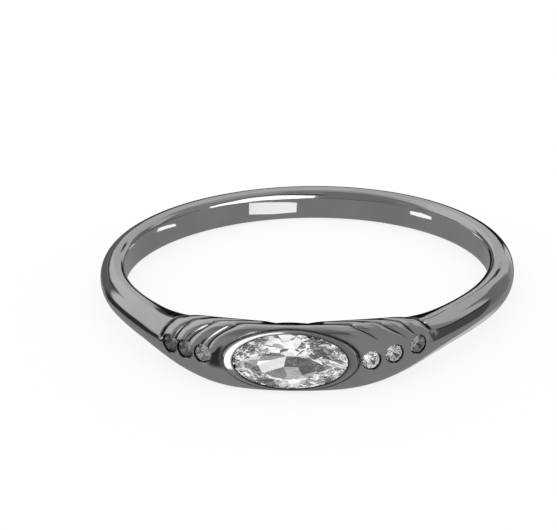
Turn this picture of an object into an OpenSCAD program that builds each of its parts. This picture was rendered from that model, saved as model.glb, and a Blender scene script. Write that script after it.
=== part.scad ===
// Oval ring: a slim polished band that swells into a rippled head with a bezel-set oval stone.
// The ring lies on its side. Z runs along the finger hole, and the oval stone faces -Y.
// The origin is the centre of the finger hole. Lengths are in millimetres, angles in degrees.

/* [Finger hole] */
// Diameter of the finger hole
finger_hole_d = 17; // [16.4:0.2:18.6]

/* [Shank] */
// Thickness of the metal behind the finger
shank_thickness = 1.23; // [1.15:0.01:1.35]
// Height of the shank along the finger
shank_height = 1.58; // [1.5:0.02:1.8]

/* [Head] */
// Thickness of the metal at the middle of the head, before it is raised
head_thickness = 2.23; // [2.2:0.01:2.35]
// Height of the head along the finger, before it is raised
head_height = 2.96; // [2.94:0.02:3.1]
// How far the head stands proud of the shank where the shoulder begins
head_raise = 0.07; // [0.04:0.01:0.1]
// Depth of the grooves between the ripples on the shoulders
groove_depth = 0.12; // [0.06:0.01:0.13]

/* [Oval stone] */
// Length of the oval stone, round the band
stone_length = 5.14; // [5:0.02:5.2]
// Width of the oval stone, along the finger
stone_width = 2.68; // [2.6:0.02:2.7]

/* [Accent stones] */
// Diameter of each accent stone
accent_d = 0.8; // [0.7:0.02:0.82]
// Diameter of each accent stone's bright-cut seat at the surface
accent_seat_d = 0.94; // [0.9:0.01:0.95]

/* [Hidden] */

metal_colour = "silver";
oval_stone_colour = "lavender";
accent_stone_colour = "lightcyan";

half_circle = 180;
quarter = 90;
finger_hole_r = finger_hole_d / 2;
front_r = finger_hole_r + head_thickness + head_raise;

// Distances along the front of the band, from the middle of the oval stone. The head keeps its full
// size as far as the first one, and its height and its thickness end at the others.
plateau_arc = 1.6;
height_end_arc = 9.1;
thickness_end_arc = 12.4;
half_turn_arc = PI * front_r;

// The band's section is a superellipse on each side of its crest, for the shank and for the head.
SHANK = 0;
HEAD = 1;
OUTER_POWER = 0;
INNER_POWER = 1;
CREST_SHARE = 2;
BORE_BULGE = 3;
// Columns: outer power, inner power, crest as a share of the thickness, depth cut off by the bore.
SECTIONS = [
    [2.13, 3, 0.45, 0.06],
    [2.95, 1.76, 0.76, 0.12],
];

// Grooves between the ripples, which are nested ellipses round the oval stone.
LEFT = -1;
RIGHT = 1;
LEFT_ARC = 0;
RIGHT_ARC = 1;
GROOVE_REACH = 2;
// Columns: distance from the stone at mid height on the left and on the right, reach over the
// edge as a share of half the height.
GROOVES = [
    [3.88, 4.4, 1.3],
    [4.98, 5.75, 1.5],
    [5.72, 6.15, 2.1],
    [6.68, 7.2, 2.5],
];
last_groove = len(GROOVES) - 1;
// Shortest distance of a groove from the stone over the edge, as a share of that at mid height.
groove_floor_share = 0.35;
// Width of the slope between the outermost groove and the plain shank.
groove_foot = 0.1;
// Power of a ripple's rounding: the higher it is, the flatter the crown and the sharper the groove.
ripple_power = 3;
// Heights, as shares of half the height, over which the ripples rise above the accent stones.
RISE_START = 0;
RISE_END = 1;
// Columns: start, end. The rows are the left and the right shoulder.
RIPPLE_RISES = [
    [0.02, 0.3],
    [0.45, 0.85],
];
// Heights over which the ripples fade out inside the edge.
edge_fade_start = 1.1;
edge_fade_end = 1.5;
// Shallow dip in the head's upper edge behind the oval stone: its depth, half its length round the
// ring, and the heights where it starts, is deepest and ends.
rim_dip = 0.12;
rim_dip_arc = 1.7;
rim_dip_start = 1;
rim_dip_middle = 1.5;
rim_dip_end = 2;
// Share of the outermost ripple where the head's raised surface starts to drop to the shank.
raise_end_share = 0.7;
// On the lower half it sinks evenly between these distances, and the halves blend up to this height.
lower_raise_start = 5;
lower_raise_end = 9.5;
raise_blend = 0.6;

// Spans of the band's grid along one side. The first one lies under the bezel, the ripples follow,
// and then come the foot of the outermost groove, the taper and the even shank.
FIRST_RIPPLE = 1;
LAST_RIPPLE = 4;
FOOT = 5;
// Steps in each span.
SPAN_STEPS = [6, 6, 7, 5, 6, 2, 9, 14];
// Rows of the band's grid, round the section from the bore under the ring to the bore above it.
ROW_FROM = 0;
ROW_TO = 1;
ROW_STEPS = 2;
// Columns: from angle, to angle, steps. The front is at 0 and the upper edge at 90.
ROW_SPANS = [
    [-180, -90, 4],
    [-90, 0, 6],
    [0, 90, 10],
    [90, 180, 5],
];

// Bezel round the oval stone. The lip's plane lies a little behind the front of the head, and the
// lip covers the stone's edge.
oval_sides = 64;
lip_depth = 0.085;
lip_plane = front_r - lip_depth;
lip_cover = 0.03;
RING_LENGTH = 0;
RING_WIDTH = 1;
RING_DEPTH = 2;
// Columns: outset from the stone's length, outset from its width, depth behind the lip.
BEZEL_RINGS = [
    [0, 0.005, 0],
    [0.38, 0.08, 0.06],
    [0.5, 0.12, 0.35],
    [0.5, 0.12, 1],
];
// The ring of the bezel where its slope meets the head.
CREASE = 2;
crease_arc = stone_length / 2 + BEZEL_RINGS[CREASE][RING_LENGTH];
crease_height = stone_width / 2 + BEZEL_RINGS[CREASE][RING_WIDTH];

// Cut of the stones. Table, star and pavilion are shares of the girdle's radius. Crown, girdle and
// pavilion depth are heights, as shares of half the width.
mains = 8;
table_share = 0.56;
star_share = 0.77;
pavilion_share = 0.72;
crown_share = 0.27;
girdle_share = 0.05;
pavilion_depth_share = 0.86;

// Gap between a stone and its seat, and the seat's narrow end as a share of its mouth.
stone_gap = 0.02;
culet_clearance_share = 0.1;

// Depth of the oval stone's girdle behind the front of the head, and of the seat behind the girdle.
oval_girdle_depth = 0.24;
oval_girdle_r = front_r - oval_girdle_depth;
oval_girdle_height = stone_width / 2 * girdle_share;
oval_pavilion = stone_width / 2 * pavilion_depth_share;
seat_clearance = 0.09;

// Places of the accent stones. Columns: distance from the middle of the oval stone, along the
// front, on the left and on the right, and height over the middle of the band on each.
LEFT_HEIGHT = 2;
RIGHT_HEIGHT = 3;
ACCENTS = [
    [4.07, 3.63, 0, -0.15],
    [5.04, 4.76, 0, -0.03],
    [6, 6.06, 0, 0.1],
];
// Depths below the surface: the accent stones' tables, the seats' bright-cut bevel and their floor.
accent_table_depth = 0.03;
accent_bevel_depth = 0.07;
accent_seat_floor = 0.3;
accent_crown = accent_d / 2 * crown_share;
accent_pavilion = accent_d / 2 * pavilion_depth_share;
accent_sides = 32;

// How far a cut runs past the surface that it opens, and the bore past the band.
past = 0.3;
bore_past = 1;
bore_sides = 180;

// Small helpers.
function clamped(x) = min(1, max(0, x));
function ease(x) = let (u = clamped(x)) u * u * u * (10 - 15 * u + 6 * u * u);
function signed_power(x, power) = sign(x) * pow(abs(x), power);
function between(low, high, share) = low + (high - low) * share;
function degrees_of(arc) = arc / front_r * half_circle / PI;
function side_arc(side) = side == LEFT ? LEFT_ARC : RIGHT_ARC;

// Shape of the band at a distance from the stone.
function height_swell(arc) = 1 - ease((arc - plateau_arc) / (height_end_arc - plateau_arc));
function thickness_swell(arc) = 1 - ease((arc - plateau_arc) / (thickness_end_arc - plateau_arc));
function half_height(arc) = between(shank_height, head_height, height_swell(arc)) / 2;
function thickness(arc) = between(shank_thickness, head_thickness, thickness_swell(arc));
function section(column, arc) =
    between(SECTIONS[SHANK][column], SECTIONS[HEAD][column], thickness_swell(arc));

// Height reached on the head's section at a row angle, as a share of half its height. Past the
// upper edge it goes on growing, by the way inward.
function reach(row_angle) =
    let (head_half = head_height / 2, turned = abs(row_angle))
    let (inner_depth = SECTIONS[HEAD][CREST_SHARE] * head_thickness + SECTIONS[HEAD][BORE_BULGE])
    turned <= quarter
        ? pow(abs(sin(turned)), 2 / SECTIONS[HEAD][OUTER_POWER])
        : 1 + pow(abs(cos(turned)), 2 / SECTIONS[HEAD][INNER_POWER]) * inner_depth / head_half;

// Distance of a groove from the stone, on one side and at a height on the section.
function groove_arc(side, index, height) =
    let (share = height / GROOVES[index][GROOVE_REACH])
    GROOVES[index][side_arc(side)]
        * sqrt(max(1 - share * share, groove_floor_share * groove_floor_share));

// Distances of the grid's span ends from the stone: middle, crease, grooves, foot, taper and back.
function span_ends(side, height) = concat(
    [0, crease_arc / GROOVES[0][side_arc(side)] * groove_arc(side, 0, height)],
    [for (index = [0:last_groove]) groove_arc(side, index, height)],
    [groove_arc(side, last_groove, height) + groove_foot, thickness_end_arc, half_turn_arc]
);

// One ripple's crown, 1 in its middle and 0 at the grooves beside it.
function crown(share) = 1 - pow(abs(2 * clamped(share) - 1), ripple_power);

// Where a point lies across the innermost ripple: 0 at the bezel's crease, 1 at the first groove.
function inner_ripple_share(side, arc, height) =
    let (crease = norm([arc / crease_arc, height * head_height / 2 / crease_height]))
    let (groove = norm([arc / GROOVES[0][side_arc(side)], height / GROOVES[0][GROOVE_REACH]]))
    crease <= 1 ? 0 : (crease - 1) / (crease / groove - 1);

// How strongly the ripples show: full on the upper half, gone below it and inside the edge.
function ripple_strength(side, row_angle, height) =
    let (rise = RIPPLE_RISES[side_arc(side)])
    row_angle <= 0
        ? 0
        : ease((height - rise[RISE_START]) / (rise[RISE_END] - rise[RISE_START]))
            * (1 - ease((height - edge_fade_start) / (edge_fade_end - edge_fade_start)));

// How far the dip lowers the head's upper edge.
function dip(arc, row_angle, height) =
    row_angle <= 0
        ? 0
        : rim_dip * (1 - ease(arc / rim_dip_arc))
            * ease((height - rim_dip_start) / (rim_dip_middle - rim_dip_start))
            * (1 - ease((height - rim_dip_middle) / (rim_dip_end - rim_dip_middle)));

// How far the head stands proud, on the lower half and on the upper half.
function lower_raise(arc) =
    head_raise * (1 - ease((arc - lower_raise_start) / (lower_raise_end - lower_raise_start)));
function upper_raise(span, share) =
    span >= FOOT
        ? 0
        : span == LAST_RIPPLE
            ? head_raise * (1 - ease((share - raise_end_share) / (1 - raise_end_share)))
            : head_raise;

// How far down into a groove a point lies, from 0 on a ripple's crown to 1. The innermost ripple
// falls away on its outer side alone.
function groove_share(side, span, share, arc, height) =
    span > FOOT
        ? 0
        : span == FOOT
            ? 1 - share
            : span > FIRST_RIPPLE
                ? 1 - crown(share)
                : 1 - crown((1 + inner_ripple_share(side, arc, height)) / 2);

// How far the surface is raised over the plain band, in each span of the grid.
function relief(side, span, share, arc, row_angle) =
    let (height = reach(row_angle), blend = row_angle > 0 ? ease(height / raise_blend) : 0)
    let (grooved = ripple_strength(side, row_angle, height) * groove_share(side, span, share, arc, height))
    between(lower_raise(arc), upper_raise(span, share), blend)
        - groove_depth * grooved - dip(arc, row_angle, height);

// A point of the band's skin, at a distance from the stone and a row angle round the section. The
// relief is added along the section's normal.
function skin_point(side, span, share, row_angle) =
    let (ends = span_ends(side, reach(row_angle)))
    let (arc = between(ends[span], ends[span + 1], share))
    let (outer = cos(row_angle) > 0, crest = section(CREST_SHARE, arc) * thickness(arc))
    let (depth = outer ? thickness(arc) - crest : crest + section(BORE_BULGE, arc))
    let (power = section(outer ? OUTER_POWER : INNER_POWER, arc), half = half_height(arc))
    let (across = signed_power(cos(row_angle), 2 / power))
    let (along = signed_power(sin(row_angle), 2 / power))
    let (slope_across = signed_power(across, power - 1) / depth)
    let (slope_along = signed_power(along, power - 1) / half)
    let (raise = relief(side, span, share, arc, row_angle) / norm([slope_across, slope_along]))
    let (radius = finger_hole_r + crest + depth * across + raise * slope_across)
    let (turn = side * degrees_of(arc))
    [radius * sin(turn), -radius * cos(turn), half * along + raise * slope_along];

// Rows of the grid, as angles round the section.
row_angles = [
    for (span = ROW_SPANS)
        for (step = [0:span[ROW_STEPS] - 1])
            between(span[ROW_FROM], span[ROW_TO], step / span[ROW_STEPS])
];
rows = len(row_angles);

// Stations of one side, from the stone to the back, as pairs of span and share.
stations = [
    for (span = [0:len(SPAN_STEPS) - 1])
        for (step = [0:SPAN_STEPS[span] - 1])
            [span, step / SPAN_STEPS[span]]
];
back_station = [len(SPAN_STEPS) - 1, 1];

// Columns of the grid round the ring, from the stone over the right side, the back and the left.
columns = concat(
    [for (station = stations) [RIGHT, station[0], station[1]]],
    [[RIGHT, back_station[0], back_station[1]]],
    [for (index = [len(stations) - 1:-1:1]) [LEFT, stations[index][0], stations[index][1]]]
);

module band_skin() {
    points = [
        for (column = columns)
            for (row_angle = row_angles)
                skin_point(column[0], column[1], column[2], row_angle)
    ];
    count = len(columns);
    faces = [
        for (column = [0:count - 1])
            for (row = [0:rows - 1])
                let (here = column * rows, there = (column + 1) % count * rows, next = (row + 1) % rows)
                    for (triangle = [
                        [here + row, here + next, there + next],
                        [here + row, there + next, there + row]
                    ])
                        triangle
    ];
    polyhedron(points = points, faces = faces, convexity = 8);
}

// A solid of stacked ovals, which faces -Y. Each ring has a half length, a half width and a Y.
module stacked_ovals(rings) {
    last_ring = len(rings) - 1;
    points = [
        for (ring = rings)
            for (side = [0:oval_sides - 1])
                let (turn = side / oval_sides * 2 * half_circle)
                    [ring[RING_LENGTH] * cos(turn), ring[RING_DEPTH], ring[RING_WIDTH] * sin(turn)]
    ];
    faces = concat(
        [[for (side = [oval_sides - 1:-1:0]) side]],
        [
            for (ring = [0:last_ring - 1])
                for (side = [0:oval_sides - 1])
                    let (here = ring * oval_sides, there = here + oval_sides)
                    let (next = (side + 1) % oval_sides)
                        for (triangle = [
                            [here + side, here + next, there + next],
                            [here + side, there + next, there + side]
                        ])
                            triangle
        ],
        [[for (side = [0:oval_sides - 1]) last_ring * oval_sides + side]]
    );
    polyhedron(points = points, faces = faces, convexity = 4);
}

module bezel() {
    stacked_ovals([
        for (ring = BEZEL_RINGS) [
            stone_length / 2 + ring[RING_LENGTH],
            stone_width / 2 + ring[RING_WIDTH],
            ring[RING_DEPTH] - lip_plane
        ]
    ]);
}

module oval_pocket() {
    opening_l = stone_length / 2 - lip_cover;
    opening_w = stone_width / 2 - lip_cover;
    pocket_l = stone_length / 2 + stone_gap;
    pocket_w = stone_width / 2 + stone_gap;
    under_lip = -oval_girdle_r - lip_cover;
    seat_top = oval_girdle_height - oval_girdle_r + seat_clearance;
    seat_end = seat_top + oval_pavilion + stone_gap;
    stacked_ovals([
        [opening_l, opening_w, -lip_plane - past],
        [opening_l, opening_w, under_lip - stone_gap],
        [pocket_l, pocket_w, under_lip + stone_gap],
        [pocket_l, pocket_w, seat_top],
        [pocket_l * culet_clearance_share, pocket_w * culet_clearance_share, seat_end]
    ]);
}

module finger_bore() {
    cylinder(h = head_height + 2 * bore_past, r = finger_hole_r, center = true, $fn = bore_sides);
}

// Turns a solid that faces +Z so that it faces out of the band at an accent stone, and puts its
// origin on the surface there.
module at_accent(side, index) {
    arc = ACCENTS[index][side_arc(side)];
    height = ACCENTS[index][side == LEFT ? LEFT_HEIGHT : RIGHT_HEIGHT];
    surface_r = finger_hole_r + thickness(arc) + head_raise;
    rotate([0, 0, side * degrees_of(arc)])
        translate([0, -surface_r, height])
            rotate([quarter, 0, 0])
                children();
}

module accent_seat() {
    wall_r = accent_d / 2 + stone_gap;
    translate([0, 0, -accent_bevel_depth])
        cylinder(h = accent_bevel_depth, r1 = wall_r, r2 = accent_seat_d / 2, $fn = accent_sides);
    cylinder(h = past, r = accent_seat_d / 2, $fn = accent_sides);
    translate([0, 0, -accent_seat_floor])
        cylinder(h = accent_seat_floor, r = wall_r, $fn = accent_sides);
    translate([0, 0, -accent_seat_floor - accent_pavilion])
        cylinder(h = accent_pavilion, r1 = wall_r * culet_clearance_share, r2 = wall_r, $fn = accent_sides);
}

// A brilliant-cut stone facing +Z, with its girdle's upper edge at Z 0. The girdle is an oval of
// the half sizes, and heights go by the smaller one.
module brilliant(half_length, half_width) {
    step = half_circle / mains;
    crown_height = half_width * crown_share;
    girdle_height = half_width * girdle_share;
    pavilion_height = half_width * pavilion_depth_share;
    // Drops that keep the main facets flat.
    star_drop = (star_share * cos(step) - table_share) / (1 - table_share);
    lower_drop = 1 - pavilion_share * cos(step);
    function ring(count, offset, share, height) = [
        for (index = [0:count - 1])
            let (turn = (index + offset) * 2 * half_circle / count)
                [half_length * share * cos(turn), half_width * share * sin(turn), height]
    ];
    // Where each ring starts in the list of points.
    table_at = 0;
    star_at = mains;
    upper_at = 2 * mains;
    lower_at = 4 * mains;
    pavilion_at = 6 * mains;
    culet_at = 7 * mains;
    points = concat(
        ring(mains, 0, table_share, crown_height),
        ring(mains, 0.5, star_share, crown_height * (1 - star_drop)),
        ring(2 * mains, 0, 1, 0),
        ring(2 * mains, 0, 1, -girdle_height),
        ring(mains, 0.5, pavilion_share, -girdle_height - pavilion_height * lower_drop),
        [[0, 0, -girdle_height - pavilion_height]]
    );
    faces = concat(
        [[for (index = [mains - 1:-1:0]) table_at + index]],
        [
            for (index = [0:mains - 1])
                let (next = (index + 1) % mains, last = (index + mains - 1) % mains)
                let (point = 2 * index, after = point + 1, far = (point + 2) % (2 * mains))
                    for (facet = [
                        [table_at + index, table_at + next, star_at + index],
                        [table_at + index, star_at + index, upper_at + point, star_at + last],
                        [star_at + index, upper_at + after, upper_at + point],
                        [star_at + index, upper_at + far, upper_at + after],
                        [upper_at + point, upper_at + after, lower_at + after, lower_at + point],
                        [upper_at + after, upper_at + far, lower_at + far, lower_at + after],
                        [pavilion_at + index, lower_at + point, lower_at + after],
                        [pavilion_at + index, lower_at + after, lower_at + far],
                        [culet_at, pavilion_at + last, lower_at + point, pavilion_at + index]
                    ])
                        facet
        ]
    );
    polyhedron(points = points, faces = faces, convexity = 2);
}

module band() {
    color(metal_colour)
        difference() {
            union() {
                band_skin();
                bezel();
            }
            finger_bore();
            oval_pocket();
            for (side = [LEFT, RIGHT])
                for (index = [0:len(ACCENTS) - 1])
                    at_accent(side, index) accent_seat();
        }
}

module oval_stone() {
    color(oval_stone_colour)
        translate([0, -oval_girdle_r, 0])
            rotate([quarter, 0, 0])
                brilliant(stone_length / 2, stone_width / 2);
}

module accent_stone(side, index) {
    color(accent_stone_colour)
        at_accent(side, index)
            translate([0, 0, -accent_table_depth - accent_crown])
                brilliant(accent_d / 2, accent_d / 2);
}

band();
oval_stone();
accent_stone(LEFT, 0);  // accent_stone_left_1
accent_stone(LEFT, 1);  // accent_stone_left_2
accent_stone(LEFT, 2);  // accent_stone_left_3
accent_stone(RIGHT, 0);  // accent_stone_right_1
accent_stone(RIGHT, 1);  // accent_stone_right_2
accent_stone(RIGHT, 2);  // accent_stone_right_3
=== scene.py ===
"""Dresses the oval ring: its polished band, its stones, and the studio that it lies in.

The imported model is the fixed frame: Z runs along the finger hole, the oval stone faces -Y, and the
origin is the centre of the finger hole. Blender works in metres, and the sizes of the ring and its
stones are in millimetres here.
"""

import logging
import math
from collections.abc import Callable
from dataclasses import dataclass, field
from enum import Enum
from functools import cached_property

import bmesh
import bpy
import numpy as np
from mathutils import Matrix, Vector


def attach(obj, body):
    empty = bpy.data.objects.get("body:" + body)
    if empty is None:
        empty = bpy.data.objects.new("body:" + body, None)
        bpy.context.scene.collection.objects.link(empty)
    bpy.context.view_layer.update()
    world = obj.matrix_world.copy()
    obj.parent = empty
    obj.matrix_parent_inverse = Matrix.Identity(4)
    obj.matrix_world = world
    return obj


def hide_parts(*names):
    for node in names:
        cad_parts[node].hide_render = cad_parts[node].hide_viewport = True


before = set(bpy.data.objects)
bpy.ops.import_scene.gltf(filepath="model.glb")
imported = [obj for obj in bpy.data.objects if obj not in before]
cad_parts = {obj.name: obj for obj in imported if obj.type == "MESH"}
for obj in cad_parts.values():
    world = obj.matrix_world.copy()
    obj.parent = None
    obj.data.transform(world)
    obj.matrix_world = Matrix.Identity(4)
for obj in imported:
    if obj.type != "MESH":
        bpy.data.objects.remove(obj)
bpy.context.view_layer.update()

LOG = logging.getLogger("oval_ring")
MM = 0.001
BODY = "root"
IMAGE_WIDTH = 557
# The attribute of how dark each point of the band is painted: partly oxide, and partly painted shade and
# painted dark reflection in the clefts.
TARNISH_AND_SHADE = "tarnish"
TINY = 1e-9
BLACK = (0.0, 0.0, 0.0, 1.0)
WHITE = (1.0, 1.0, 1.0, 1.0)
# Where the white strip of the studio ends and the dark one begins, along X and up, in millimetres.
STRIP_EDGE = ((-0.32, 0.6), (0.1, 2.4), (0.9, 3.0), (1.6, 1.8), (3.5, 1.2))

Face = tuple[int, ...]
Shell = tuple[np.ndarray, list[Face]]
Colour = tuple[float, float, float, float]
Sockets = dict[str, bpy.types.NodeSocket]
Inputs = dict[str | int, object]


class Side(Enum):
    """The two shoulders of the ring, with the sign of their X."""

    LEFT = -1
    RIGHT = 1


class Operation(Enum):
    """What a boolean does with its tool."""

    JOIN = "UNION"
    CUT = "DIFFERENCE"


class Ray(Enum):
    """The kinds of ray that a piece can be hidden from."""

    CAMERA = "visible_camera"
    DIFFUSE = "visible_diffuse"
    GLOSSY = "visible_glossy"
    TRANSMISSION = "visible_transmission"
    SHADOW = "visible_shadow"


class Facing(Enum):
    """Which way the lit side of a studio card faces."""

    UP = (0, 0, 1)
    FRONT = (0, -1, 0)
    BACK = (0, 1, 0)
    LEFT = (-1, 0, 0)
    RIGHT = (1, 0, 0)


def clamped(value: np.ndarray) -> np.ndarray:
    """Returns the value held between 0 and 1."""
    return np.clip(value, 0.0, 1.0)


def ease(value: np.ndarray) -> np.ndarray:
    """Returns a smooth step from 0 to 1, with no bend at either end."""
    share = clamped(value)
    return share**3 * (10 - 15 * share + 6 * share**2)


def between(low: np.ndarray, high: np.ndarray, share: np.ndarray) -> np.ndarray:
    """Returns the value at a share of the way from low to high."""
    return low + (high - low) * share


def signed_power(value: np.ndarray, power: np.ndarray) -> np.ndarray:
    """Returns the power of the value's size, with the value's sign."""
    return np.sign(value) * np.abs(value) ** power


def bell(distance: np.ndarray, width: float) -> np.ndarray:
    """Returns 1 at no distance, falling smoothly to nothing over about twice the width."""
    return np.exp(-((distance / width) ** 2))


def spaced(low: float, high: float, step: float) -> np.ndarray:
    """Returns even places from low up to, but not at, high, no more than a step apart."""
    count = max(1, math.ceil(abs(high - low) / step))
    return low + (high - low) * np.arange(count) / count


def round_angles(count: int) -> np.ndarray:
    """Returns even angles round a circle, in radians."""
    return np.arange(count) / count * 2 * math.pi


def new_object(name: str, points: np.ndarray, faces: list[Face]) -> bpy.types.Object:
    """Makes a mesh object.

    Args:
        name: The object's name.
        points: The vertices, in metres.
        faces: The corners of each face, as rows of points.

    Returns:
        The object, linked to the scene.
    """
    mesh = bpy.data.meshes.new(name)
    mesh.from_pydata([tuple(point) for point in points.tolist()], [], faces)
    mesh.update()
    piece = bpy.data.objects.new(name, mesh)
    bpy.context.scene.collection.objects.link(piece)
    return piece


def mesh_points(piece: bpy.types.Object) -> np.ndarray:
    """Reads the vertices of a piece.

    Args:
        piece: The piece.

    Returns:
        A row for each vertex, in metres.
    """
    points = np.zeros(len(piece.data.vertices) * 3)
    piece.data.vertices.foreach_get("co", points)
    return points.reshape(-1, 3)


def tube_faces(rings: int, sides: int, closed: bool = False) -> list[Face]:
    """Lists the faces of rings of points stacked into a tube.

    Args:
        rings: How many rings there are.
        sides: How many points each ring has.
        closed: Whether the last ring joins the first. If not, both ends are capped.

    Returns:
        The faces, which look outward when the rings turn left round their path.
    """
    faces = []
    for ring in range(rings if closed else rings - 1):
        here, there = ring * sides, (ring + 1) % rings * sides
        for side in range(sides):
            after = (side + 1) % sides
            faces.append((here + side, here + after, there + after, there + side))
    if not closed:
        faces.append(tuple(reversed(range(sides))))
        faces.append(tuple(range((rings - 1) * sides, rings * sides)))
    return faces


def merged(name: str, shells: list[Shell]) -> bpy.types.Object:
    """Makes one object of several closed shells.

    Args:
        name: The object's name.
        shells: The points, in metres, and the faces of each shell.

    Returns:
        The object, linked to the scene.
    """
    points, faces, start = [], [], 0
    for shell_points, shell_faces in shells:
        points.append(shell_points)
        faces += [tuple(start + corner for corner in face) for face in shell_faces]
        start += len(shell_points)
    return new_object(name, np.concatenate(points), faces)


def apply_boolean(piece: bpy.types.Object, tool: bpy.types.Object, operation: Operation) -> None:
    """Joins a tool to a piece or cuts it out, and removes the tool.

    Args:
        piece: The object that is changed.
        tool: The object that is joined to it or cut out of it.
        operation: Whether the tool is joined or cut.
    """
    modifier = piece.modifiers.new("boolean", "BOOLEAN")
    modifier.operation = operation.value
    modifier.solver = "EXACT"
    modifier.object = tool
    bpy.context.view_layer.update()
    shown = piece.evaluated_get(bpy.context.evaluated_depsgraph_get())
    mesh = bpy.data.meshes.new_from_object(shown)
    piece.modifiers.clear()
    old = piece.data
    piece.data = mesh
    bpy.data.meshes.remove(old)
    bpy.data.objects.remove(tool)
    mesh.name = piece.name


def give_material(piece: bpy.types.Object, material: bpy.types.Material) -> None:
    """Gives a piece one material in place of what it has."""
    piece.data.materials.clear()
    piece.data.materials.append(material)


def hide_from(piece: bpy.types.Object, *rays: Ray) -> None:
    """Hides a piece from some kinds of ray."""
    for ray in rays:
        setattr(piece, ray.value, False)


class Graph:
    """Adds and joins the nodes of one tree."""

    # Where a Mix node has its factor and its two colours among its inputs, and its mixed colour.
    MIX_INPUTS = (0, 6, 7)
    MIX_OUTPUT = 2

    def __init__(self, tree: bpy.types.NodeTree) -> None:
        """Keeps the tree that the nodes go into."""
        self.tree = tree

    def plug(self, socket: bpy.types.NodeSocket, value: object) -> None:
        """Feeds an input from another socket, or sets its own value.

        Args:
            socket: The input.
            value: The socket that feeds it, or a plain value.
        """
        if isinstance(value, bpy.types.NodeSocket):
            self.tree.links.new(value, socket)
        else:
            socket.default_value = value

    def add(self, kind: str, inputs: Inputs | None = None, **settings: object) -> bpy.types.Node:
        """Adds a node.

        Args:
            kind: The node's type, without the word ShaderNode in front.
            inputs: A value or a socket for each input, by its name or its number.
            settings: Values of the node's own settings.

        Returns:
            The node.
        """
        node = self.tree.nodes.new("ShaderNode" + kind)
        for name, value in settings.items():
            setattr(node, name, value)
        for name, value in (inputs or {}).items():
            self.plug(node.inputs[name], value)
        return node

    def math(self, operation: str, *values: object) -> bpy.types.NodeSocket:
        """Adds a maths node.

        Args:
            operation: The node's operation.
            values: Up to three values or sockets.

        Returns:
            The result.
        """
        return self.add("Math", dict(enumerate(values)), operation=operation).outputs[0]

    def mixed(self, share: object, low: object, high: object) -> bpy.types.NodeSocket:
        """Mixes two colours.

        Args:
            share: How far the mix is on the way from low to high, from 0 to 1.
            low: The first colour.
            high: The second colour.

        Returns:
            The mixed colour.
        """
        inputs = dict(zip(self.MIX_INPUTS, (share, low, high)))
        return self.add("Mix", inputs, data_type="RGBA").outputs[self.MIX_OUTPUT]

    def spread(self, value: object, low: object, high: object, to_low: float = 0.0,
               to_high: float = 1.0) -> bpy.types.NodeSocket:
        """Eases a value from one range onto another, and holds it inside that.

        Args:
            value: The value.
            low: Where its range starts.
            high: Where its range ends.
            to_low: The result at low.
            to_high: The result at high.

        Returns:
            The result.
        """
        inputs = dict(enumerate((value, low, high, to_low, to_high)))
        return self.add("MapRange", inputs, interpolation_type="SMOOTHSTEP").outputs[0]

    def bumped(self, height: bpy.types.NodeSocket) -> bpy.types.NodeSocket:
        """Returns the normal of a surface with a height on it, in millimetres."""
        return self.add("Bump", {"Height": height, "Distance": MM}).outputs["Normal"]

    def group(self, tree: bpy.types.NodeTree, **inputs: object) -> bpy.types.Node:
        """Adds a node group.

        Args:
            tree: The group.
            inputs: A value or a socket for each input, named with underscores for spaces.

        Returns:
            The group's node.
        """
        node = self.add("Group", node_tree=tree)
        for name, value in inputs.items():
            self.plug(node.inputs[name.replace("_", " ").title()], value)
        return node


def new_group(name: str, inputs: dict[str, float], outputs: list[str]) -> tuple[Graph, Sockets, Sockets]:
    """Starts a shader node group of numbers.

    Args:
        name: The group's name.
        inputs: The inputs and their usual values.
        outputs: The outputs.

    Returns:
        The group's graph, its inputs as sockets to read and its outputs as sockets to feed.
    """
    tree = bpy.data.node_groups.new(name, "ShaderNodeTree")
    for label, value in inputs.items():
        socket = tree.interface.new_socket(name=label, in_out="INPUT", socket_type="NodeSocketFloat")
        socket.default_value = value
    for label in outputs:
        tree.interface.new_socket(name=label, in_out="OUTPUT", socket_type="NodeSocketFloat")
    graph = Graph(tree)
    given = {socket.name: socket for socket in tree.nodes.new("NodeGroupInput").outputs}
    result = {socket.name: socket for socket in tree.nodes.new("NodeGroupOutput").inputs}
    return graph, given, result


def new_material(name: str) -> tuple[bpy.types.Material, Graph, bpy.types.Node]:
    """Starts a material.

    Args:
        name: The material's name.

    Returns:
        The material, its graph and its Principled shader.
    """
    made = bpy.data.materials.new(name)
    made.use_nodes = True
    return made, Graph(made.node_tree), made.node_tree.nodes["Principled BSDF"]


def polish_group() -> bpy.types.NodeTree:
    """Makes the group for hand polish: slow waves in the surface, fine scratches and smudges.

    Returns:
        The group. Its heights are in millimetres.
    """
    graph, given, result = new_group(
        "hand_polish",
        {"Wave Scale": 900.0, "Wave Height": 0.004, "Scratch Height": 0.0002, "Smudge Scale": 400.0},
        ["Height", "Scratches", "Smudges"],
    )
    place = graph.add("TexCoord").outputs["Object"]
    waves = {"Vector": place, "Scale": given["Wave Scale"], "Detail": 1.0, "Roughness": 0.4}
    wave = graph.add("TexNoise", waves).outputs["Fac"]
    stretch = {"Vector": place, "Rotation": (0.5, 0.3, 0.9), "Scale": (1.0, 1.0, 14.0)}
    stretched = graph.add("Mapping", stretch).outputs[0]
    hairs = {"Vector": stretched, "Scale": 2600.0, "Detail": 3.0, "Roughness": 0.6}
    scratch = graph.spread(graph.add("TexNoise", hairs).outputs["Fac"], low=0.6, high=0.72)
    smudges = {"Vector": place, "Scale": given["Smudge Scale"], "Detail": 3.0}
    smudge = graph.spread(graph.add("TexNoise", smudges).outputs["Fac"], low=0.35, high=0.68)
    wave_height = graph.math("MULTIPLY", wave, given["Wave Height"])
    scratch_depth = graph.math("MULTIPLY", given["Scratch Height"], -1.0)
    graph.plug(result["Height"], graph.math("MULTIPLY_ADD", scratch, scratch_depth, wave_height))
    graph.plug(result["Scratches"], scratch)
    graph.plug(result["Smudges"], smudge)
    return graph.tree


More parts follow.
